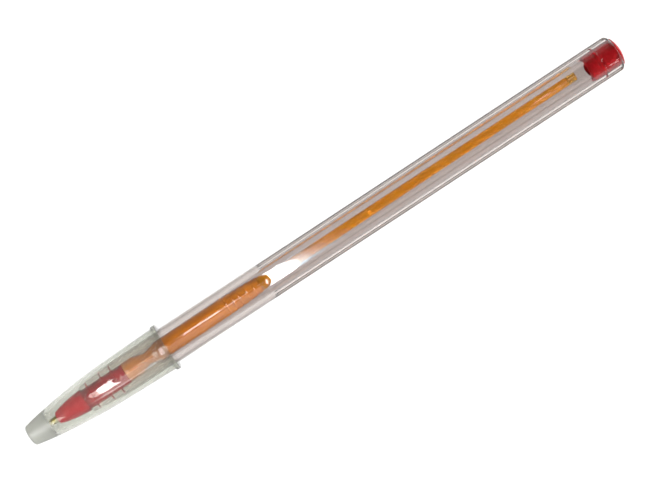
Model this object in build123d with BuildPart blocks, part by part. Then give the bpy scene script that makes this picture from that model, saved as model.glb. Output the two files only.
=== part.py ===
"""Stick ballpoint pen, capped and lying on its side.

The pen lies along X: the cap's tip points to -X and the end plug to +X.
Z = 0 is the lowest point of the cap's mouth flange.  Stations below are
distances along the pen from the cap's tip, in millimetres.
"""

import os
from math import asin, cos, radians, sin, sqrt

from build123d import *

os.makedirs("parts", exist_ok=True)

# ---------------------------------------------------------------- overall
length = 150.0          # capped length, cap tip to end plug
flange_r = 5.425        # mouth flange of the cap, the widest place

# ---------------------------------------------------------------- barrel
barrel_front = 14.5     # front end face
barrel_front_r = 3.1
cone_end = 24.0         # end of the conical front
under_cap_r = 3.92      # seat that the cap slides over
seat_end = 35.2         # small shoulder behind the cap's mouth
grip_r = 4.1            # round grip section
grip_end = 59.5         # a slight cone leads from here to the six flats
flats_full = 61.2       # the flats have their full depth from here on
flat_apothem = 3.68     # half the size across flats
corner_round = 1.05     # rounding of the edges between the flats
barrel_rear = 149.0
rear_round_x = 1.3      # rounded rear edge, along the axis
rear_round_r = 0.85     # and across it
bore_front_r = 2.35     # holds the nose cone's stem
bore_grip_r = 2.5       # round the refill's adapter
bore_rear_r = 2.75      # round the ink tube, holds the end plug
bore_step_1 = 23.4
bore_step_2 = 24.3
bore_step_3 = 42.0      # long taper to the wider rear bore
bore_step_4 = 66.0
bead_at = 144.6         # snap bead of the end plug
bead_groove_r = 2.93
vent_at = 86.4          # air vent in the upper flat
vent_d = 0.9

# ---------------------------------------------------------------- cap
cap_length = 35.0
cap_flange_t = 1.0
cap_bore_r = 3.98
cap_mouth_r = 4.12      # small lead-in of the mouth
cap_tip_r = 1.75        # flat of the front end

# ---------------------------------------------------------------- writing tip
ball_r = 0.5
ball_at = 4.98          # station of the ball's centre
ball_gap = 0.015
socket_r = 0.7
socket_front = 4.75
socket_rear = 13.0

# ---------------------------------------------------------------- nose cone
nose_front = 7.1
nose_front_r = 1.33
nose_base_r = 2.55
stem_r = 2.25
stem_end = 24.6
stem_rib_r = 2.34
stem_ribs = (16.2, 19.7, 22.25)
stem_rib_w = 0.35
stem_socket = 19.0      # bottom of the socket for the adapter's spigot
stem_socket_r = 1.5

# ---------------------------------------------------------------- refill
refill_y = 0.16         # sideways offset where the adapter leaves the stem
refill_tilt = 0.24      # degrees, the refill leans to +Y towards its rear
refill_sag = 0.38       # degrees, and hangs lower there under its own weight
adapter_r = 2.15
spigot_r = 1.2
spigot_l = 5.0
waist_at = 5.5          # measured from the adapter's front face
waist_r = 1.35
tail_start = 24.9
adapter_l = 34.0
tail_mid = (29.5, 2.02)  # a point on the curved tail
tail_r = 1.74
tail_grooves = (25.7, 27.4, 28.9, 30.7, 32.5)
groove_w = 0.52
groove_d = 0.12
adapter_channel_r = 0.8
tube_socket_r = 1.61
tube_socket_at = 24.0
tube_r = 1.60
tube_bore_r = 1.15
tube_front = 24.1
tube_rear = 114.4
ink_gap = 0.01
ink_rear = 112.3        # level of the ink in the tube

# ---------------------------------------------------------------- end plug
plug_front = 141.7
plug_core_r = 2.69
plug_rib_r = 2.74
plug_rib_pitch = 0.85
plug_ribs = 7
plug_first_rib = 142.9
plug_bead_r = 2.90
plug_cup_r = 1.9
plug_cup_end = 147.9
plug_head_r = 3.2
plug_head_edge = 0.25

# The pen's own axis, and the plane through it where stations and radii are
# drawn: local x is the station, local y the radius.
axis_z = flange_r
x0 = -length / 2
pen_axis = Axis((x0, 0, axis_z), (1, 0, 0))
pen_plane = Plane(origin=(x0, 0, axis_z), x_dir=(1, 0, 0), z_dir=(0, -1, 0))

# The refill's axis, which leans a little inside the wide bore.
lean = radians(refill_tilt)
sag = radians(refill_sag)
refill_dir = (cos(lean) * cos(sag), sin(lean) * cos(sag), -sin(sag))
refill_origin = (x0 + stem_end, refill_y, axis_z)
refill_axis = Axis(refill_origin, refill_dir)
refill_plane = Plane(
    origin=refill_origin, x_dir=refill_dir, z_dir=(sin(lean), -cos(lean), 0)
)

# ================================================================ cap
# Tapered blind sleeve with a thick solid front end and a mouth flange.
with BuildPart() as cap:
    with BuildSketch(pen_plane):
        with BuildLine():
            Line((0, 0), (0, cap_tip_r))
            ThreePointArc((0, cap_tip_r), (0.22, 2.2), (0.8, 2.43))
            Spline(
                (0.8, 2.43),
                (4.8, 3.16),
                (10.0, 3.86),
                (16.0, 4.43),
                (24.0, 4.78),
                (33.9, 5.05),
                tangents=((1, 0.22), (1, 0.03)),
            )
            Polyline(
                (33.9, 5.05),
                (34.0, 5.15),
                (34.0, flange_r - 0.25),
                (34.25, flange_r),
                (34.75, flange_r),
                (cap_length, flange_r - 0.25),
                (cap_length, cap_mouth_r),
                (cap_length - (cap_mouth_r - cap_bore_r), cap_bore_r),
                (24.0, cap_bore_r),
            )
            Spline(
                (24.0, cap_bore_r),
                (16.0, 3.74),
                (10.0, 3.2),
                (5.6, 2.45),
                tangents=((-1, -0.01), (-1, -0.19)),
            )
            Spline(
                (5.6, 2.45),
                (5.02, 2.155),
                (4.34, 1.41),
                (3.95, 0),
                tangents=((-1, -0.34), (0, -1)),
            )
            Line((3.95, 0), (0, 0))
        make_face()
    revolve(axis=pen_axis)
cap.part.label = "cap"
export_step(cap.part, "parts/cap.step")

# ================================================================ barrel
# Section of the rear part: a hexagon with rounded corners, flats up and down.
section_plane = Plane(
    origin=(x0 + grip_end - 0.5, 0, axis_z), x_dir=(0, 1, 0), z_dir=(1, 0, 0)
)
with BuildSketch(section_plane) as rear_section:
    RegularPolygon(flat_apothem, 6, major_radius=False)
    fillet(rear_section.vertices(), corner_round)

# Waste between the round bar and the six flats.  It leaves a cone where the
# round grip runs into the flats.
run_out = (grip_r - flat_apothem) / (flats_full - grip_end)
with BuildPart() as flats_waste:
    with BuildSketch(section_plane):
        Circle(grip_r + 2.0)
        add(rear_section.sketch_local, mode=Mode.SUBTRACT)
    extrude(amount=length - grip_end + 2.5)
    with BuildSketch(pen_plane):
        with BuildLine():
            Polyline(
                (grip_end - 1.0, 0),
                (grip_end - 1.0, grip_r + run_out),
                (flats_full + 0.6, flat_apothem - 0.6 * run_out),
                (flats_full + 0.6, 0),
                (grip_end - 1.0, 0),
            )
        make_face()
    revolve(axis=pen_axis, mode=Mode.SUBTRACT)

# Thick-walled clear tube: conical front, seat for the cap, round grip, then
# six flats to the rear; the bore widens behind the grip.
with BuildPart() as barrel:
    with BuildSketch(pen_plane):
        with BuildLine():
            Line((barrel_front, bore_front_r + 0.1), (barrel_front, barrel_front_r - 0.3))
            ThreePointArc(
                (barrel_front, barrel_front_r - 0.3),
                (barrel_front + 0.09, barrel_front_r - 0.08),
                (barrel_front + 0.3, barrel_front_r + 0.02),
            )
            Polyline(
                (barrel_front + 0.3, barrel_front_r + 0.02),
                (cone_end, under_cap_r),
                (seat_end, under_cap_r),
                (seat_end + 0.06, grip_r),
                (barrel_rear - rear_round_x, grip_r),
            )
            ThreePointArc(
                (barrel_rear - rear_round_x, grip_r),
                (barrel_rear - 0.42, grip_r - 0.27),
                (barrel_rear, grip_r - rear_round_r),
            )
            Polyline(
                (barrel_rear, grip_r - rear_round_r),
                (barrel_rear, bore_rear_r),
                (bead_at + 0.3, bore_rear_r),
                (bead_at + 0.1, bead_groove_r),
                (bead_at - 0.1, bead_groove_r),
                (bead_at - 0.3, bore_rear_r),
                (bore_step_4, bore_rear_r),
                (bore_step_3, bore_grip_r),
                (bore_step_2, bore_grip_r),
                (bore_step_1, bore_front_r),
                (barrel_front + 0.1, bore_front_r),
                (barrel_front, bore_front_r + 0.1),
            )
        make_face()
    revolve(axis=pen_axis)
    add(flats_waste.part, mode=Mode.SUBTRACT)
    with BuildSketch(Plane.XY.offset(axis_z)):
        with Locations((x0 + vent_at, 0)):
            Circle(vent_d / 2)
    extrude(amount=grip_r + 1.0, mode=Mode.SUBTRACT)
barrel.part.label = "barrel"
export_step(barrel.part, "parts/barrel.step")

# ================================================================ nose cone
# Ogive nose in front of the barrel and a ribbed stem pressed into it.
with BuildPart() as nose_cone:
    with BuildSketch(pen_plane):
        with BuildLine():
            Polyline(
                (nose_front, socket_r + 0.01),
                (nose_front, nose_front_r - 0.12),
                (nose_front + 0.12, nose_front_r),
            )
            Spline(
                (nose_front + 0.12, nose_front_r),
                (9.0, 1.86),
                (11.2, 2.22),
                (13.3, 2.46),
                (barrel_front - 0.02, nose_base_r),
                tangents=((1, 0.38), (1, 0.05)),
            )
            Polyline(
                (barrel_front - 0.02, nose_base_r),
                (barrel_front - 0.02, stem_r),
                (stem_end - 0.2, stem_r),
                (stem_end, stem_r - 0.2),
                (stem_end, stem_socket_r + 0.15),
                (stem_end - 0.15, stem_socket_r),
                (stem_socket, stem_socket_r),
                (stem_socket, 0.6),
                (socket_rear + 0.02, 0.6),
                (socket_rear + 0.02, socket_r + 0.01),
                (nose_front, socket_r + 0.01),
            )
        make_face()
    revolve(axis=pen_axis)
    with BuildSketch(pen_plane):
        for station in stem_ribs:
            with BuildLine():
                Polyline(
                    (station - stem_rib_w, stem_r - 0.1),
                    (station - stem_rib_w / 2, stem_rib_r),
                    (station + stem_rib_w / 4, stem_rib_r),
                    (station + stem_rib_w / 2, stem_r - 0.1),
                    (station - stem_rib_w, stem_r - 0.1),
                )
            make_face()
    revolve(axis=pen_axis)
nose_cone.part.label = "nose_cone"
export_step(nose_cone.part, "parts/nose_cone.step")

# ================================================================ tip socket
# Turned brass tube: crimped lip over the ball, cone, straight shank, and a
# stepped feed hole.
cavity_r = ball_r + ball_gap
lip_r = sqrt(cavity_r**2 - (ball_at - socket_front) ** 2)
seat_x = ball_at + 0.32
seat_r = sqrt(cavity_r**2 - (seat_x - ball_at) ** 2)
with BuildPart() as tip_socket:
    with BuildSketch(pen_plane):
        with BuildLine():
            Polyline(
                (socket_front, lip_r),
                (socket_front, lip_r + 0.06),
                (socket_front + 0.12, 0.58),
                (socket_front + 0.75, socket_r),
                (socket_rear - 0.15, socket_r),
                (socket_rear, socket_r - 0.1),
                (socket_rear, 0.45),
                (6.9, 0.45),
                (6.65, 0.25),
                (seat_x + 0.14, 0.25),
                (seat_x, seat_r),
            )
            ThreePointArc(
                (seat_x, seat_r), (ball_at, cavity_r), (socket_front, lip_r)
            )
        make_face()
    revolve(axis=pen_axis)
tip_socket.part.label = "tip_socket"
export_step(tip_socket.part, "parts/tip_socket.step")

# ================================================================ writing ball
with BuildPart() as writing_ball:
    with BuildSketch(pen_plane):
        with BuildLine():
            ThreePointArc(
                (ball_at - ball_r, 0), (ball_at, ball_r), (ball_at + ball_r, 0)
            )
            Line((ball_at + ball_r, 0), (ball_at - ball_r, 0))
        make_face()
    revolve(axis=pen_axis)
writing_ball.part.label = "writing_ball"
export_step(writing_ball.part, "parts/writing_ball.step")

# ================================================================ tube adapter
# Spigot into the stem, wide body with a waist, bullet-shaped tail with ring
# grooves, socket for the ink tube.
with BuildPart() as tube_adapter:
    with BuildSketch(refill_plane):
        with BuildLine():
            Polyline(
                (-spigot_l, adapter_channel_r),
                (-spigot_l, spigot_r - 0.15),
                (-spigot_l + 0.15, spigot_r),
                (0.05, spigot_r),
                (0.05, adapter_r - 0.15),
                (0.2, adapter_r),
                (2.6, adapter_r),
            )
            Spline(
                (2.6, adapter_r),
                (waist_at, waist_r),
                (8.6, adapter_r),
                tangents=((1, 0), (1, 0)),
            )
            Line((8.6, adapter_r), (tail_start, adapter_r))
            Spline(
                (tail_start, adapter_r),
                tail_mid,
                (adapter_l - 0.1, tail_r),
                tangents=((1, 0), (1, -0.12)),
            )
            Polyline(
                (adapter_l - 0.1, tail_r),
                (adapter_l, tail_r - 0.08),
                (adapter_l, tube_socket_r),
                (tube_socket_at, tube_socket_r),
                (tube_socket_at, adapter_channel_r),
                (-spigot_l, adapter_channel_r),
            )
        make_face()
    revolve(axis=refill_axis)
    with BuildSketch(refill_plane):
        for s in tail_grooves:
            run = (s - tail_start) / (tail_mid[0] - tail_start)
            depth_r = adapter_r - (adapter_r - tail_mid[1]) * run**2
            if s > tail_mid[0]:
                depth_r += 0.08 * ((s - tail_mid[0]) / (adapter_l - tail_mid[0])) ** 2
            with BuildLine():
                Polyline(
                    (s - groove_w / 2, depth_r + 0.3),
                    (s - groove_w / 2, depth_r),
                    (s, depth_r - groove_d),
                    (s + groove_w / 2, depth_r),
                    (s + groove_w / 2, depth_r + 0.3),
                    (s - groove_w / 2, depth_r + 0.3),
                )
            make_face()
    revolve(axis=refill_axis, mode=Mode.SUBTRACT)
tube_adapter.part.label = "tube_adapter"
export_step(tube_adapter.part, "parts/tube_adapter.step")

# ================================================================ ink tube
with BuildPart() as ink_tube:
    with BuildSketch(refill_plane):
        with BuildLine():
            Polyline(
                (tube_front, tube_bore_r),
                (tube_front, tube_r - 0.1),
                (tube_front + 0.1, tube_r),
                (tube_rear - 0.08, tube_r),
                (tube_rear, tube_r - 0.08),
                (tube_rear, tube_bore_r),
                (tube_front, tube_bore_r),
            )
        make_face()
    revolve(axis=refill_axis)
ink_tube.part.label = "ink_tube"
export_step(ink_tube.part, "parts/ink_tube.step")

# ================================================================ ink
# The ink fills the adapter's channel and the tube, and ends in a hollow
# meniscus short of the tube's open end.
ink_r = tube_bore_r - ink_gap
men_h = 0.35                                   # depth of the meniscus
men_R = (men_h**2 + ink_r**2) / (2 * men_h)    # its radius
men_x = ink_rear - men_h + men_R               # and its centre, on the axis
men_a = asin(ink_r / men_R)
with BuildPart() as ink_column:
    with BuildSketch(refill_plane):
        with BuildLine():
            Polyline(
                (ink_rear - men_h, 0),
                (-spigot_l + 0.05, 0),
                (-spigot_l + 0.05, adapter_channel_r - ink_gap),
                (tube_socket_at, adapter_channel_r - ink_gap),
                (tube_front + 0.05, ink_r),
                (ink_rear, ink_r),
            )
            ThreePointArc(
                (ink_rear, ink_r),
                (men_x - men_R * cos(men_a / 2), men_R * sin(men_a / 2)),
                (ink_rear - men_h, 0),
            )
        make_face()
    revolve(axis=refill_axis)
ink_column.part.label = "ink_column"
export_step(ink_column.part, "parts/ink_column.step")

# ================================================================ end plug
# Cup-shaped plug, open towards the ink tube, with ring ribs, a snap bead and
# a low domed head on the barrel's rear face.
dome_r = plug_head_r - 0.05                    # rim of the dome
dome_h = length - barrel_rear - plug_head_edge
dome_R = (dome_h**2 + dome_r**2) / (2 * dome_h)
dome_x = length - dome_R                       # its centre, on the axis
dome_a = asin(dome_r / dome_R)
with BuildPart() as end_plug:
    with BuildSketch(pen_plane):
        with BuildLine():
            Polyline(
                (plug_front, plug_cup_r),
                (plug_front, 2.1),
            )
            ThreePointArc(
                (plug_front, 2.1), (plug_front + 0.26, 2.52), (plug_front + 0.75, plug_core_r)
            )
            Polyline(
                (plug_front + 0.75, plug_core_r),
                (barrel_rear + 0.02, plug_core_r),
                (barrel_rear + 0.02, plug_head_r - 0.1),
                (barrel_rear + 0.1, plug_head_r),
                (barrel_rear + plug_head_edge, dome_r),
            )
            ThreePointArc(
                (barrel_rear + plug_head_edge, dome_r),
                (dome_x + dome_R * cos(dome_a / 2), dome_R * sin(dome_a / 2)),
                (length, 0),
            )
            Polyline(
                (length, 0),
                (plug_cup_end + 0.3, 0),
                (plug_cup_end, plug_cup_r - 0.5),
                (plug_cup_end - 0.4, plug_cup_r),
                (plug_front, plug_cup_r),
            )
        make_face()
    revolve(axis=pen_axis)
    with BuildSketch(pen_plane):
        for i in range(plug_ribs):
            s = plug_first_rib + i * plug_rib_pitch
            top = plug_rib_r
            with BuildLine():
                Polyline(
                    (s - 0.28, plug_core_r - 0.1),
                    (s - 0.1, top),
                    (s + 0.1, top),
                    (s + 0.28, plug_core_r - 0.1),
                    (s - 0.28, plug_core_r - 0.1),
                )
            make_face()
        with BuildLine():
            Polyline(
                (bead_at - 0.42, plug_core_r - 0.1),
                (bead_at - 0.07, plug_bead_r),
                (bead_at + 0.07, plug_bead_r),
                (bead_at + 0.42, plug_core_r - 0.1),
                (bead_at - 0.42, plug_core_r - 0.1),
            )
        make_face()
    revolve(axis=pen_axis)
end_plug.part.label = "end_plug"
export_step(end_plug.part, "parts/end_plug.step")
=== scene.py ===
"""Looks of the clear stick ballpoint pen: smooth turned meshes over the CAD
frame, moulded-plastic, brass and ink materials, a pale floor and soft light.
Stations are millimetres along the pen from the cap's tip, as in the CAD."""
from math import acos, asin, atan, atan2, cos, degrees, pi, radians, sin, sqrt, tan

import bmesh
import bpy
import numpy as np
from mathutils import Matrix, Vector


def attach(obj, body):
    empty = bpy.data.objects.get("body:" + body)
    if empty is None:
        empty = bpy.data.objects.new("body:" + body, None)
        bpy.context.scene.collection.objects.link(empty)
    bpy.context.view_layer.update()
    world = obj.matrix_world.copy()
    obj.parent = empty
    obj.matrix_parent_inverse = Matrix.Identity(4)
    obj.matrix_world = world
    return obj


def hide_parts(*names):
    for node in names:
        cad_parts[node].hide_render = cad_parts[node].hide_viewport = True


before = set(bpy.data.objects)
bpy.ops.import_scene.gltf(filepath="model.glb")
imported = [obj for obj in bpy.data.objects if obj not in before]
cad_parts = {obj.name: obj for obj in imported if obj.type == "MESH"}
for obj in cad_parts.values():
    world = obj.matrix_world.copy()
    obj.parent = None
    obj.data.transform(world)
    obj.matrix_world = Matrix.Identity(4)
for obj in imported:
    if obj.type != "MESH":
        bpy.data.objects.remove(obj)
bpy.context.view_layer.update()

MM = 0.001
LENGTH = 150.0
AXIS_Z = 5.425

# ------------------------------------------------------------------ helpers


def hermite(points, start, end, step=0.35):
    """Smooth curve through (station, radius) points with given end slopes."""
    p = np.array(points, float)
    n = len(p)
    x, y = p[:, 0], p[:, 1]
    h = np.diff(x)
    a = np.zeros((n, n))
    b = np.zeros(n)
    a[0, 0] = a[-1, -1] = 1
    b[0], b[-1] = start, end
    for i in range(1, n - 1):
        a[i, i - 1] = 1 / h[i - 1]
        a[i, i] = 2 * (1 / h[i - 1] + 1 / h[i])
        a[i, i + 1] = 1 / h[i]
        b[i] = 3 * (
            (y[i] - y[i - 1]) / h[i - 1] ** 2 + (y[i + 1] - y[i]) / h[i] ** 2
        )
    m = np.linalg.solve(a, b)
    out = []
    for i in range(n - 1):
        k = max(2, int(abs(h[i]) / step))
        for j in range(k):
            t = j / k
            out.append(
                (
                    x[i] + t * h[i],
                    (2 * t**3 - 3 * t**2 + 1) * y[i]
                    + (t**3 - 2 * t**2 + t) * h[i] * m[i]
                    + (-2 * t**3 + 3 * t**2) * y[i + 1]
                    + (t**3 - t**2) * h[i] * m[i + 1],
                )
            )
    out.append((x[-1], y[-1]))
    return out


def arc(p1, pm, p2, n=8):
    """Points on the circle through three points, ends included."""
    ax, ay = p1
    bx, by = pm
    cx, cy = p2
    d = 2 * (ax * (by - cy) + bx * (cy - ay) + cx * (ay - by))
    ux = ((ax**2 + ay**2) * (by - cy) + (bx**2 + by**2) * (cy - ay) + (cx**2 + cy**2) * (ay - by)) / d
    uy = ((ax**2 + ay**2) * (cx - bx) + (bx**2 + by**2) * (ax - cx) + (cx**2 + cy**2) * (bx - ax)) / d
    r = sqrt((ax - ux) ** 2 + (ay - uy) ** 2)
    t1, tm, t2 = (atan2(q[1] - uy, q[0] - ux) for q in (p1, pm, p2))
    while tm - t1 > pi: tm -= 2 * pi
    while tm - t1 < -pi: tm += 2 * pi
    while t2 - tm > pi: t2 -= 2 * pi
    while t2 - tm < -pi: t2 += 2 * pi
    return [
        (ux + r * cos(t1 + (t2 - t1) * i / n), uy + r * sin(t1 + (t2 - t1) * i / n))
        for i in range(n + 1)
    ]


def rounded(points, radius=0.06, n=3):
    """The same open run of straight lines with each inner corner rounded."""
    out = [points[0]]
    for a, b, c in zip(points, points[1:], points[2:]):
        va, vc = Vector((a[0] - b[0], a[1] - b[1])), Vector((c[0] - b[0], c[1] - b[1]))
        la, lc = va.length, vc.length
        if la < 1e-6 or lc < 1e-6:
            continue
        cosang = max(-1, min(1, va.dot(vc) / la / lc))
        half = acos(cosang) / 2
        if half > radians(86):
            out.append(b)
            continue
        t = min(radius / tan(half), 0.45 * la, 0.45 * lc)
        p, q = Vector(b) + va / la * t, Vector(b) + vc / lc * t
        for i in range(n + 1):
            s = i / n
            w = (1 - s) ** 2 * p + 2 * s * (1 - s) * Vector(b) + s**2 * q
            out.append((w.x, w.y))
    out.append(points[-1])
    return out


def finish_mesh(me, name, angle=32):
    me.validate()
    for poly in me.polygons:
        poly.use_smooth = True
    me.set_sharp_from_angle(angle=radians(angle))
    ob = bpy.data.objects.new(name, me)
    bpy.context.scene.collection.objects.link(ob)
    return ob


LEAN, SAG = radians(0.24), radians(0.38)
REFILL = (24.6, 0.16)


def to_world(s, r, th, refill=False):
    """Station, radius and angle from +Z to the row frame, in metres."""
    y, z = r * sin(th), r * cos(th)
    if refill:
        run, rise = s * cos(SAG) + z * sin(SAG), z * cos(SAG) - s * sin(SAG)
        return (
            (REFILL[0] - LENGTH / 2 + run * cos(LEAN) - y * sin(LEAN)) * MM,
            (REFILL[1] + run * sin(LEAN) + y * cos(LEAN)) * MM,
            (AXIS_Z + rise) * MM,
        )
    return ((s - LENGTH / 2) * MM, y * MM, (AXIS_Z + z) * MM)


def lathe(name, prof, seg=128, refill=False, closed=True, angle=32):
    """Turned solid from a profile of (station, radius); radius 0 is a pole."""
    bm = bmesh.new()
    rings = []
    for s, r in prof:
        if r < 1e-6:
            rings.append([bm.verts.new(to_world(s, 0, 0, refill))])
        else:
            rings.append(
                [bm.verts.new(to_world(s, r, 2 * pi * k / seg, refill)) for k in range(seg)]
            )
    pairs = list(zip(rings, rings[1:]))
    if closed:
        pairs.append((rings[-1], rings[0]))
    for a, b in pairs:
        if len(a) == 1 and len(b) == 1:
            continue
        for k in range(seg):
            j = (k + 1) % seg
            if len(a) == 1:
                bm.faces.new((a[0], b[k], b[j]))
            elif len(b) == 1:
                bm.faces.new((a[k], b[0], a[j]))
            else:
                bm.faces.new((a[k], b[k], b[j], a[j]))
    bmesh.ops.recalc_face_normals(bm, faces=bm.faces)
    me = bpy.data.meshes.new(name)
    bm.to_mesh(me)
    bm.free()
    return finish_mesh(me, name, angle)


# ------------------------------------------------------------------ materials


class Mat:
    """A Principled material with small helpers for its procedural nodes."""

    def __init__(self, name, **sockets):
        self.m = bpy.data.materials.new(name)
        self.m.use_nodes = True
        self.nt = self.m.node_tree
        self.bsdf = next(n for n in self.nt.nodes if n.type == "BSDF_PRINCIPLED")
        self.out = next(n for n in self.nt.nodes if n.type == "OUTPUT_MATERIAL")
        for k, v in sockets.items():
            self.bsdf.inputs[k.replace("_", " ")].default_value = v
        self.coord = self.node("ShaderNodeTexCoord").outputs["Object"]

    def node(self, kind, **props):
        n = self.nt.nodes.new(kind)
        for k, v in props.items():
            setattr(n, k, v)
        return n

    def link(self, a, b):
        self.nt.links.new(a, b)

    def noise(self, scale, detail=4.0, rough=0.55, stretch=(1, 1, 1), distortion=0.0):
        mp = self.node("ShaderNodeMapping")
        mp.inputs["Scale"].default_value = stretch
        self.link(self.coord, mp.inputs["Vector"])
        n = self.node("ShaderNodeTexNoise")
        n.inputs["Scale"].default_value = scale
        n.inputs["Detail"].default_value = detail
        n.inputs["Roughness"].default_value = rough
        n.inputs["Distortion"].default_value = distortion
        self.link(mp.outputs["Vector"], n.inputs["Vector"])
        return n.outputs["Fac"]

    def ramp(self, fac, stops, interp="LINEAR"):
        r = self.node("ShaderNodeValToRGB")
        r.color_ramp.interpolation = interp
        els = r.color_ramp.elements
        while len(els) < len(stops):
            els.new(0.5)
        for e, (p, c) in zip(els, stops):
            e.position = p
            e.color = (*c, 1) if len(c) == 3 else c
        self.link(fac, r.inputs["Fac"])
        return r.outputs["Color"]

    def remap(self, fac, lo, hi, a, b):
        r = self.node("ShaderNodeMapRange")
        r.inputs["From Min"].default_value = lo
        r.inputs["From Max"].default_value = hi
        r.inputs["To Min"].default_value = a
        r.inputs["To Max"].default_value = b
        self.link(fac, r.inputs["Value"])
        return r.outputs["Result"]

    def math(self, op, a, b):
        n = self.node("ShaderNodeMath", operation=op)
        for i, v in enumerate((a, b)):
            if isinstance(v, (int, float)):
                n.inputs[i].default_value = v
            else:
                self.link(v, n.inputs[i])
        return n.outputs[0]

    def scale(self, colour, fac):
        n = self.node("ShaderNodeVectorMath", operation="SCALE")
        self.link(colour, n.inputs[0])
        self.link(fac, n.inputs["Scale"])
        return n.outputs[0]

    def along(self, a, b, va, vb):
        """A value that changes along the pen between two places on X."""
        xyz = self.node("ShaderNodeSeparateXYZ")
        self.link(self.coord, xyz.inputs[0])
        return self.remap(xyz.outputs["X"], a, b, va, vb)

    def bump(self, height, strength, distance):
        b = self.node("ShaderNodeBump")
        b.inputs["Strength"].default_value = strength
        b.inputs["Distance"].default_value = distance
        self.link(height, b.inputs["Height"])
        self.link(b.outputs["Normal"], self.bsdf.inputs["Normal"])

    def absorb(self, colour, density):
        v = self.node("ShaderNodeVolumeAbsorption")
        v.inputs["Color"].default_value = (*colour, 1)
        v.inputs["Density"].default_value = density
        self.link(v.outputs["Volume"], self.out.inputs["Volume"])

    def colour(self, out):
        self.link(out, self.bsdf.inputs["Base Color"])

    def rough(self, out):
        self.link(out, self.bsdf.inputs["Roughness"])


def clear_barrel():
    m = Mat("clear_moulded", Transmission_Weight=1.0, IOR=1.48)
    # Fine handling scratches along the barrel and a few across it.
    lengthwise = m.noise(900, 3, 0.6, (0.05, 1, 1))
    across = m.noise(700, 2, 0.5, (1, 0.12, 0.12))
    scuffs = m.math("MULTIPLY", lengthwise, across)
    m.rough(m.remap(scuffs, 0.2, 0.45, 0.02, 0.055))
    # The wall is tinted grey, with a little random tone.
    grey_tone = m.ramp(m.noise(60, 2, 0.5), [(0.3, (0.728, 0.684, 0.670)), (0.7, (0.752, 0.710, 0.697))])
    # Painted light: under the cap the wall is painted lighter, so the parts inside it read brighter.
    painted_light_front = m.scale(grey_tone, m.along(-0.0440, -0.0402, 1.39, 1.0))
    # The wall is a little darker from the grip forward than along the flats.
    m.colour(m.scale(painted_light_front, m.along(-0.0165, -0.0125, 0.95, 1.0)))
    m.bump(m.noise(140, 2, 0.5, (0.15, 1, 1)), 0.0008, 0.0002)
    m.absorb((0.52, 0.44, 0.38), 165)
    return m.m


def milky_cap():
    m = Mat("milky_polypropylene", IOR=1.49)
    flow = m.noise(220, 4, 0.6, (0.35, 1, 1), 0.6)
    milky = m.ramp(flow, [(0.3, (0.862, 0.866, 0.836)), (0.7, (0.915, 0.919, 0.892))])
    # The thick front end is cloudier than the thin wall behind it.
    m.colour(m.scale(milky, m.along(-0.0720, -0.0688, 1.01, 1.0)))
    front = m.along(-0.0702, -0.0688, 0.42, 0.0)
    m.link(m.along(-0.0708, -0.0684, 0.872, 0.973), m.bsdf.inputs["Transmission Weight"])
    m.rough(m.math("ADD", m.remap(m.noise(900, 3, 0.6), 0.3, 0.7, 0.02, 0.045), front))
    m.bump(m.noise(420, 3, 0.5, (0.4, 1, 1)), 0.012, 0.0002)
    m.absorb((0.50, 0.51, 0.43), 550)
    return m.m


def red_plastic(name, gloss, shade_scale):
    m = Mat(name, IOR=1.5, Specular_IOR_Level=gloss)
    m.bsdf.inputs["Subsurface Weight"].default_value = 0.12
    m.bsdf.inputs["Subsurface Radius"].default_value = (0.0012, 0.0002, 0.0002)
    m.bsdf.inputs["Subsurface Scale"].default_value = 0.5
    swirl = m.noise(350, 5, 0.65, (0.5, 1, 1), 1.2)
    # The red is scaled by the given factor; below 1 it is painted shade.
    m.colour(
        m.ramp(
            swirl,
            [(0.25, (0.31 * shade_scale, 0.003, 0.006)), (0.55, (0.44 * shade_scale, 0.006, 0.010)), (0.8, (0.52 * shade_scale, 0.014, 0.016))],
        )
    )
    m.rough(m.remap(m.noise(1300, 3, 0.6), 0.3, 0.7, 0.18, 0.34))
    m.bump(m.noise(1100, 3, 0.5), 0.08, 0.0001)
    return m.m


def brass():
    m = Mat("turned_brass", Metallic=1.0)
    rings = m.noise(5200, 2, 0.5, (1, 0.02, 0.02))
    m.colour(m.ramp(rings, [(0.3, (0.20, 0.155, 0.022)), (0.7, (0.37, 0.295, 0.055))]))
    m.rough(m.remap(rings, 0.3, 0.7, 0.22, 0.38))
    m.bump(rings, 0.12, 0.00002)
    return m.m


def carbide():
    m = Mat("hard_metal", Metallic=1.0)
    n = m.noise(4000, 4, 0.6)
    m.colour(m.ramp(n, [(0.3, (0.10, 0.10, 0.11)), (0.7, (0.22, 0.22, 0.24))]))
    m.rough(m.remap(n, 0.3, 0.7, 0.25, 0.4))
    return m.m


def amber_adapter():
    m = Mat("amber_translucent", Transmission_Weight=0.12, IOR=1.68)
    n = m.noise(260, 4, 0.6, (0.3, 1, 1), 0.8)
    m.colour(m.ramp(n, [(0.3, (0.62, 0.21, 0.022)), (0.7, (0.80, 0.31, 0.045))]))
    m.rough(m.remap(m.noise(800, 3, 0.6), 0.3, 0.7, 0.04, 0.08))
    m.bump(m.noise(500, 3, 0.5, (0.3, 1, 1)), 0.05, 0.0002)
    return m.m


def amber_tube():
    m = Mat("tube_translucent", Transmission_Weight=0.9, IOR=1.49)
    n = m.noise(120, 3, 0.5, (0.06, 1, 1))
    m.colour(m.ramp(n, [(0.3, (0.965, 0.68, 0.22)), (0.7, (0.975, 0.71, 0.24))]))
    m.rough(m.remap(m.noise(700, 3, 0.6, (0.05, 1, 1)), 0.3, 0.7, 0.06, 0.14))
    m.bump(m.noise(500, 2, 0.5, (0.03, 1, 1)), 0.006, 0.0001)
    return m.m


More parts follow.
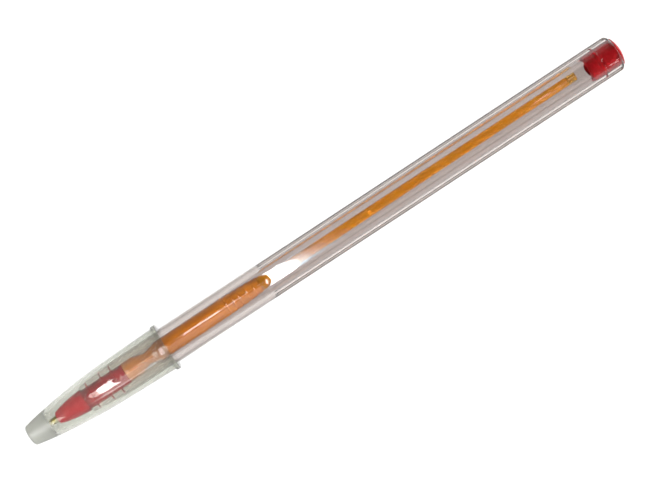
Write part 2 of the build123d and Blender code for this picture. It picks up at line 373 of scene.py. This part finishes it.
def ink():
    m = Mat("orange_ink", IOR=1.45, Specular_IOR_Level=0.1)
    n = m.noise(160, 4, 0.6, (0.15, 1, 1), 0.5)
    m.colour(m.ramp(n, [(0.3, (0.84, 0.480, 0.021)), (0.7, (0.89, 0.535, 0.034))]))
    m.rough(m.remap(m.noise(900, 2, 0.5), 0.3, 0.7, 0.25, 0.4))
    return m.m


# ------------------------------------------------------------------ cap
cap_outer = hermite(
    [(0.8, 2.43), (4.8, 3.16), (10.0, 3.86), (16.0, 4.43), (24.0, 4.78), (33.9, 5.05)],
    0.22,
    0.03,
)
cap_inner = hermite([(5.6, 2.45), (10.0, 3.2), (16.0, 3.74), (24.0, 3.98)], 0.19, 0.01)[::-1]
cap_profile = (
    [(0.12, 0), (0.12, 0.42), (0.0, 0.55)]
    + arc((0, 1.75), (0.22, 2.2), (0.8, 2.43), 8)[:-1]
    + cap_outer[:-1]
    + rounded(
        [
            (33.85, 5.05),
            (34.0, 5.12),
            (34.0, 5.425),
            (35.0, 5.425),
            (35.0, 4.12),
            (34.86, 3.98),
            (24.0, 3.98),
        ],
        0.16,
        4,
    )[1:-1]
    + cap_inner
    + [(6.4 - 2.45 * sin(a), 2.612 * cos(a)) for a in np.linspace(0.40, 1.50, 14)]
    + [(3.95, 0)]
)
cap = lathe("cap_shell", cap_profile, 144)
cap.data.materials.append(milky_cap())
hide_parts("cap"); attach(cap, "cap")

# ------------------------------------------------------------------ barrel
APOTHEM, FILLET, GRIP_R = 3.68, 1.05, 4.1
GRIP_END, FLATS_FULL = 59.5, 61.2
DC = (APOTHEM - FILLET) / cos(radians(30))
PHI1 = atan((APOTHEM - FILLET) * tan(radians(30)) / APOTHEM)


def hex_r(phi):
    """Radius of the rounded hexagon; phi is the angle from a flat's normal."""
    p = abs(phi)
    if p <= PHI1:
        return APOTHEM / cos(p)
    k = radians(30) - p
    return DC * cos(k) + sqrt(FILLET**2 - (DC * sin(k)) ** 2)


phis = [-PHI1, -PHI1 + radians(0.4)]
phis += list(np.linspace(-PHI1 + radians(3), PHI1 - radians(3), 14))
phis += [PHI1 - radians(0.4)]
phis += list(np.linspace(PHI1, radians(60) - PHI1, 14)[:-1])
columns = [
    (radians(60 * k) + p, hex_r(p if p <= radians(30) else p - radians(60)))
    for k in range(6)
    for p in phis
]
rear_arc = arc((147.7, 4.1), (148.58, 3.83), (149.0, 3.25), 60)


def rear_start(r):
    """Index on the rounded rear edge where its radius falls to r."""
    for i, (s, q) in enumerate(rear_arc):
        if q <= r:
            return i
    return len(rear_arc) - 1


def barrel_column(r):
    """Closed profile of the barrel at an angle where its flat has radius r."""
    # The round grip runs into the flats on a slight cone.
    slope = (GRIP_R - APOTHEM) / (FLATS_FULL - GRIP_END)
    reach = (GRIP_R - r) / slope
    full = GRIP_END + reach
    i = rear_start(r)
    edge = [rear_arc[round(i + (60 - i) * k / 8)] for k in range(9)]
    edge[0] = (edge[0][0], r)
    p = arc((14.5, 2.8), (14.59, 3.02), (14.8, 3.12), 4)
    p += [(18, 3.398), (22, 3.747), (23.7, 3.9), (24.0, 3.918), (24.4, 3.92)]
    p += [(30, 3.92), (35.15, 3.92), (35.21, 3.94), (35.25, 4.08), (35.3, 4.1), (35.36, 4.1), (35.6, 4.1)]
    p += [(40, 4.1), (46, 4.1), (52, 4.1), (57, 4.1), (GRIP_END - 0.3, 4.1), (GRIP_END - 0.05, 4.1)]
    p += [(GRIP_END + f * reach, GRIP_R + f * (r - GRIP_R)) for f in (0.03, 0.5, 0.97)]
    p += [(full + 0.05, r), (full + 0.15, r), (full + 0.5, r)]
    p += [(64, r), (74, r), (84.6, r), (88.2, r), (100, r), (115, r), (130, r), (145, r)]
    p += edge
    p += [(149.0, 2.85), (148.93, 2.76), (148.8, 2.75)]
    p += [(145.3, 2.75), (145.2, 2.75), (145.0, 2.77), (144.8, 2.85), (144.6, 2.88), (144.4, 2.85), (144.2, 2.77), (144.0, 2.75), (143.9, 2.75)]
    p += [(130, 2.75), (110, 2.75), (88.2, 2.75), (84.6, 2.75), (74, 2.75), (68, 2.75)]
    p += [(66, 2.742), (64, 2.727), (60, 2.688), (54, 2.625), (48, 2.563), (44, 2.523), (42, 2.508)]
    p += [(40, 2.5), (30, 2.5), (24.6, 2.5), (24.3, 2.485), (23.4, 2.365), (23.1, 2.35)]
    p += [(20, 2.35), (14.7, 2.35), (14.6, 2.36), (14.5, 2.45)]
    return p


bm = bmesh.new()
grid = [
    [bm.verts.new(to_world(s, q, th)) for s, q in barrel_column(r)] for th, r in columns
]
count = len(grid[0])
for a, b in zip(grid, grid[1:] + grid[:1]):
    for k in range(count):
        j = (k + 1) % count
        bm.faces.new((a[k], a[j], b[j], b[k]))
bmesh.ops.recalc_face_normals(bm, faces=bm.faces)
me = bpy.data.meshes.new("barrel_body")
bm.to_mesh(me)
bm.free()
barrel = finish_mesh(me, "barrel_body", 24)

# Air vent through the upper flat.
bm = bmesh.new()
bmesh.ops.create_cone(
    bm, cap_ends=True, segments=40, radius1=0.45 * MM, radius2=0.45 * MM, depth=3.0 * MM,
    matrix=Matrix.Translation(((86.4 - 75) * MM, 0, (AXIS_Z + 3.4) * MM)),
)
me = bpy.data.meshes.new("vent_cutter")
bm.to_mesh(me)
bm.free()
cutter = bpy.data.objects.new("vent_cutter", me)
bpy.context.scene.collection.objects.link(cutter)
mod = barrel.modifiers.new("vent", "BOOLEAN")
mod.operation, mod.solver, mod.object = "DIFFERENCE", "EXACT", cutter
bpy.context.view_layer.update()
cut = bpy.data.meshes.new_from_object(
    barrel.evaluated_get(bpy.context.evaluated_depsgraph_get())
)
barrel.modifiers.clear()
barrel.data = cut
barrel.data.name = "barrel_body"
bpy.data.objects.remove(cutter)
for poly in barrel.data.polygons:
    poly.use_smooth = True
barrel.data.set_sharp_from_angle(angle=radians(24))
barrel.data.materials.clear()
barrel.data.materials.append(clear_barrel())
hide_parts("barrel"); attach(barrel, "pen")

# ------------------------------------------------------------------ nose cone
nose_curve = hermite(
    [(7.22, 1.33), (9.0, 1.86), (11.2, 2.22), (13.3, 2.46), (14.4, 2.545)], 0.38, 0.05, 0.2
)
stem = [(14.48, 2.5), (14.48, 2.25)]
for c in (16.2, 19.7, 22.25):
    stem += [(c - 0.35, 2.25), (c - 0.2, 2.33), (c - 0.13, 2.362), (c + 0.1, 2.362), (c + 0.15, 2.33), (c + 0.22, 2.25)]
stem += [(24.4, 2.25), (24.54, 2.2), (24.6, 2.06), (24.6, 1.65), (24.45, 1.5), (19.0, 1.5), (19.0, 0.6)]
nose_profile = (
    [(7.1, 0.71), (7.1, 1.21), (7.13, 1.29)]
    + nose_curve
    + stem
    + [(13.02, 0.6), (13.02, 0.71)]
)
nose = lathe("nose_moulding", nose_profile, 112, angle=38)
nose.data.materials.append(red_plastic("red_moulded", 0.15, 1.0))
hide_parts("nose_cone"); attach(nose, "pen")

# ------------------------------------------------------------------ writing tip
CAV, BALL = 0.515, 4.98
lip = sqrt(CAV**2 - (BALL - 4.75) ** 2)
seat = sqrt(CAV**2 - 0.32**2)
cavity = arc((BALL + 0.32, seat), (BALL, CAV), (4.75, lip), 14)
tip_profile = (
    [(4.75, lip), (4.74, lip + 0.03), (4.77, lip + 0.07), (4.87, 0.58)]
    + [(5.2, 0.645), (5.42, 0.688), (5.5, 0.70), (5.62, 0.70), (5.66, 0.675), (5.74, 0.675), (5.78, 0.70)]
    + [(6.9, 0.70), (12.85, 0.70), (13.0, 0.6), (13.0, 0.45), (6.9, 0.45), (6.65, 0.25), (BALL + 0.46, 0.25)]
    + cavity[:-1]
)
tip = lathe("tip_turned", tip_profile, 64, angle=30)
tip.data.materials.append(brass())
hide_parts("tip_socket"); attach(tip, "pen")

ball_profile = [(BALL - 0.5 * cos(pi * i / 24), 0.5 * sin(pi * i / 24) if 0 < i < 24 else 0) for i in range(25)]
ball = lathe("ball_ground", ball_profile, 48, closed=False, angle=60)
ball.data.materials.append(carbide())
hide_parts("writing_ball"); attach(ball, "ball")

# ------------------------------------------------------------------ refill
BODY, WAIST = 2.15, 1.35
waist = rounded([(2.5, BODY), (2.9, BODY), (5.2, WAIST), (5.65, WAIST), (8.6, BODY), (8.9, BODY)], 1.0, 8)
tail = hermite([(24.9, BODY), (29.5, 2.02), (33.9, 1.74)], 0, -0.12, 0.05)


def grooved(s, r):
    for c in (25.7, 27.4, 28.9, 30.7, 32.5):
        d = abs(s - c) / 0.26
        if d < 1:
            r -= 0.12 * (1 - d)
    return r


adapter_profile = (
    rounded([(-5.0, 0.8), (-5.0, 1.2), (0.05, 1.2), (0.05, BODY), (2.6, BODY)], 0.12, 4)[:-1]
    + waist[1:-1]
    + [(9.2, BODY), (12, BODY), (18, BODY), (23, BODY), (24.7, BODY)]
    + [(s, grooved(s, r)) for s, r in tail]
    + [(33.97, 1.72), (34.0, 1.68), (34.0, 1.61), (24.0, 1.61), (24.0, 0.8)]
)
adapter = lathe("adapter_moulding", adapter_profile, 96, refill=True, angle=40)
adapter.data.materials.append(amber_adapter())
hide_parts("tube_adapter"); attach(adapter, "pen")

TUBE, BORE = 1.60, 1.15
tube_profile = [(24.1, BORE), (24.1, TUBE - 0.1), (24.2, TUBE)]
tube_profile += [(s, TUBE) for s in (40, 60, 80, 100)]
tube_profile += [(114.32, TUBE), (114.38, TUBE - 0.03), (114.4, TUBE - 0.08), (114.4, BORE + 0.03), (114.36, BORE)]
tube_profile += [(s, BORE) for s in (100, 80, 60, 40)]
tube = lathe("tube_extruded", tube_profile, 80, refill=True)
tube.data.materials.append(amber_tube())
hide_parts("ink_tube"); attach(tube, "pen")

# The ink wets the walls, so it reaches a hair into them.
INK, MEN = BORE + 0.015, 0.35
men_r = (MEN**2 + INK**2) / (2 * MEN)
ink_profile = [(-4.95, 0), (-4.95, 0.815), (10, 0.815), (24.0, 0.815), (24.15, INK)]
ink_profile += [(s, INK) for s in range(28, 112, 4)] + [(112.3, INK)]
ink_profile += [
    (112.3 - MEN + men_r - men_r * cos(a), men_r * sin(a))
    for a in (asin(INK / men_r) * k / 8 for k in range(7, 0, -1))
] + [(112.3 - MEN, 0)]
ink_body = lathe("ink_fill", ink_profile, 64, refill=True, closed=False)
ink_body.data.materials.append(ink())
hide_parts("ink_column"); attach(ink_body, "pen")

# ------------------------------------------------------------------ end plug
plug_side = []
for c in (142.9, 143.75, 145.45, 146.3, 147.15, 148.0):
    plug_side += [(c - 0.22, 2.69), (c - 0.12, 2.728), (c, 2.74), (c + 0.12, 2.728), (c + 0.22, 2.69)]
bead = [(144.16, 2.69), (144.4, 2.86), (144.52, 2.89), (144.68, 2.89), (144.8, 2.86), (145.04, 2.69)]
plug_side = sorted(plug_side + bead)
dome_r, dome_h = 3.15, 0.75
dome_R = (dome_h**2 + dome_r**2) / (2 * dome_h)
dome = [
    (150 - dome_R + dome_R * cos(a), dome_R * sin(a))
    for a in (asin(dome_r / dome_R) * k / 16 for k in range(16, 0, -1))
]
plug_profile = (
    [(141.7, 1.9)]
    + arc((141.7, 2.1), (141.96, 2.52), (142.45, 2.69), 8)
    + plug_side
    + [(149.02, 2.69), (149.02, 3.1), (149.06, 3.18), (149.16, 3.2)]
    + dome
    + [(150, 0), (148.2, 0), (147.9, 1.4), (147.5, 1.9)]
)
plug = lathe("plug_moulding", plug_profile, 112, closed=True, angle=38)
# The plug is the same red painted darker (painted shade), set for how it reads under the barrel wall.
plug.data.materials.append(red_plastic("red_plug", 0.04, 0.78))
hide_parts("end_plug"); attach(plug, "pen")

# ------------------------------------------------------------------ floor
slope = atan(1.745 / 113.5)
bm = bmesh.new()
bmesh.ops.create_grid(bm, x_segments=2, y_segments=2, size=3.0)
me = bpy.data.meshes.new("floor")
bm.to_mesh(me)
bm.free()
floor = bpy.data.objects.new("floor", me)
floor.location = (-0.0405, 0, -0.00002)
floor.rotation_euler = (0, -slope, 0)
bpy.context.scene.collection.objects.link(floor)
fm = Mat("pale_floor", Roughness=0.75)
fm.bsdf.inputs["Emission Color"].default_value = (1.0, 1.0, 0.995, 1)
fm.bsdf.inputs["Emission Strength"].default_value = 0.80
fm.colour(fm.ramp(fm.noise(40, 3, 0.5), [(0.3, (0.175, 0.175, 0.174)), (0.7, (0.185, 0.185, 0.184))]))
floor.data.materials.append(fm.m)

# ------------------------------------------------------------------ camera
TILT, DIST = radians(2.5), 0.400
w = Vector((0, -sin(TILT), cos(TILT)))
vdir = -Vector((0, cos(TILT), sin(TILT)))
ca, sb = 0.83567, 0.54923
right = ca * Vector((1, 0, 0)) + sb * vdir
up = sb * Vector((1, 0, 0)) - ca * vdir
target = Vector((0.00030, 0, AXIS_Z * MM)) - 0.00039 * vdir
cam_data = bpy.data.cameras.new("camera")
cam = bpy.data.objects.new("camera", cam_data)
bpy.context.scene.collection.objects.link(cam)
loc = target + DIST * w
cam.matrix_world = Matrix(
    (
        (right.x, up.x, w.x, loc.x),
        (right.y, up.y, w.y, loc.y),
        (right.z, up.z, w.z, loc.z),
        (0, 0, 0, 1),
    )
)
cam_data.sensor_width = 36
cam_data.lens = 36 * DIST / 0.13832
cam_data.clip_start, cam_data.clip_end = 0.01, 20
bpy.context.scene.camera = cam

# ------------------------------------------------------------------ light


def area(name, place, aim, size_x, size_y, power, along=(1, 0, 0), spin=0.0, shape="RECTANGLE"):
    """A light whose first side runs along the given direction."""
    d = bpy.data.lights.new(name, "AREA")
    d.shape, d.size, d.size_y, d.energy = shape, size_x, size_y, power
    o = bpy.data.objects.new(name, d)
    z = (Vector(place) - Vector(aim)).normalized()
    x = Vector(along)
    x = (x - x.dot(z) * z).normalized()
    y = z.cross(x)
    x, y = cos(spin) * x + sin(spin) * y, cos(spin) * y - sin(spin) * x
    o.matrix_world = Matrix(
        ((x.x, y.x, z.x, place[0]), (x.y, y.y, z.y, place[1]), (x.z, y.z, z.z, place[2]), (0, 0, 0, 1))
    )
    bpy.context.scene.collection.objects.link(o)
    return o


area("end_left", (-1.00, -0.08, 0.80), (0, 0, 0), 0.8, 0.6, 17.0, along=(0, 1, 0))
area("end_right", (0.85, -0.08, 0.90), (0, 0, 0), 0.8, 0.6, 17.0, along=(0, 1, 0))
area("key", (-0.17, -0.409, 0.857), (-0.03, 0, 0), 0.26, 0.62, 0.75)
area("strip_a", (-0.147, -0.0375, 0.403), (-0.05, 0, 0.01), 0.27, 0.025, 0.55, along=(0, 1, 0))
area("strip_b", (0.192, -0.0500, 0.385), (-0.03, 0, 0.01), 0.24, 0.075, 0.83, along=(0, 1, 0))
area("strip_c", (-0.340, -0.0978, 0.367), (-0.05, 0, 0.01), 0.18, 0.100, 0.80, along=(0, 1, 0))
for k, (x, y, sx, sy, power) in enumerate(
    (
        (-0.0246, 0.0168, 0.0215, 0.0062, 0.0100),
        (-0.0225, 0.0161, 0.0270, 0.0034, 0.0012),
        (-0.0185, 0.0168, 0.0230, 0.0046, 0.00130),
        (-0.01675, 0.0168, 0.0265, 0.0048, 0.00101),
        (-0.0150, 0.0168, 0.0300, 0.0050, 0.00096),
        (-0.0130, 0.0169, 0.0340, 0.0054, 0.00064),
        (-0.0090, 0.0170, 0.0420, 0.0060, 0.00081),
    )
):
    lamp = area(
        "glare%d" % k, (x, y, 0.4040 + 0.0004 * k), (0.5 * x, 0, 0.009),
        sx, sy, power, spin=radians(-3.5), shape="ELLIPSE",
    )
    # The fading end of the glare is cooler than its middle.
    if k > 1:
        lamp.data.color = (0.45, 0.80, 1.0)
area("strip_d", (-0.136, -0.257, 0.306), (-0.054, 0, 0.008), 0.064, 0.047, 0.050, along=(0, 1, -0.8))
for k, (y, z) in enumerate(((-0.336, 0.393), (-0.467, 0.254))):
    area("strip_e%d" % k, (0.255 - 0.024 * k, y, z), (-0.047, 0, 0.007), 0.17, 0.075, 0.32, along=(0, 1, -0.8 - k))
area("line", (-0.0620, 0.0200, 0.402), (-0.031, 0, 0.009), 0.018, 0.070, 0.045)

world = bpy.data.worlds.new("studio")
bpy.context.scene.world = world
world.use_nodes = True
nt = world.node_tree
bg = next(n for n in nt.nodes if n.type == "BACKGROUND")
geo = nt.nodes.new("ShaderNodeTexCoord")
sep = nt.nodes.new("ShaderNodeSeparateXYZ")
nt.links.new(geo.outputs["Generated"], sep.inputs[0])
ramp = nt.nodes.new("ShaderNodeValToRGB")
els = ramp.color_ramp.elements
for _ in range(3):
    els.new(0.5)
for e, (pos, val) in zip(els, [(0.0, 1.0), (0.08, 0.85), (0.25, 0.36), (0.70, 0.13), (0.93, 0.02)]):
    e.position, e.color = pos, (val, val, val, 1)
nt.links.new(sep.outputs["Z"], ramp.inputs["Fac"])
nt.links.new(ramp.outputs["Color"], bg.inputs["Color"])
bg.inputs["Strength"].default_value = 1.0

scene = bpy.context.scene
scene.view_settings.view_transform = "Standard"
scene.view_settings.look = "None"
scene.cycles.blur_glossy = 0.0
scene.cycles.max_bounces = 24
scene.cycles.transmission_bounces = 24
scene.cycles.glossy_bounces = 8
scene.cycles.diffuse_bounces = 4
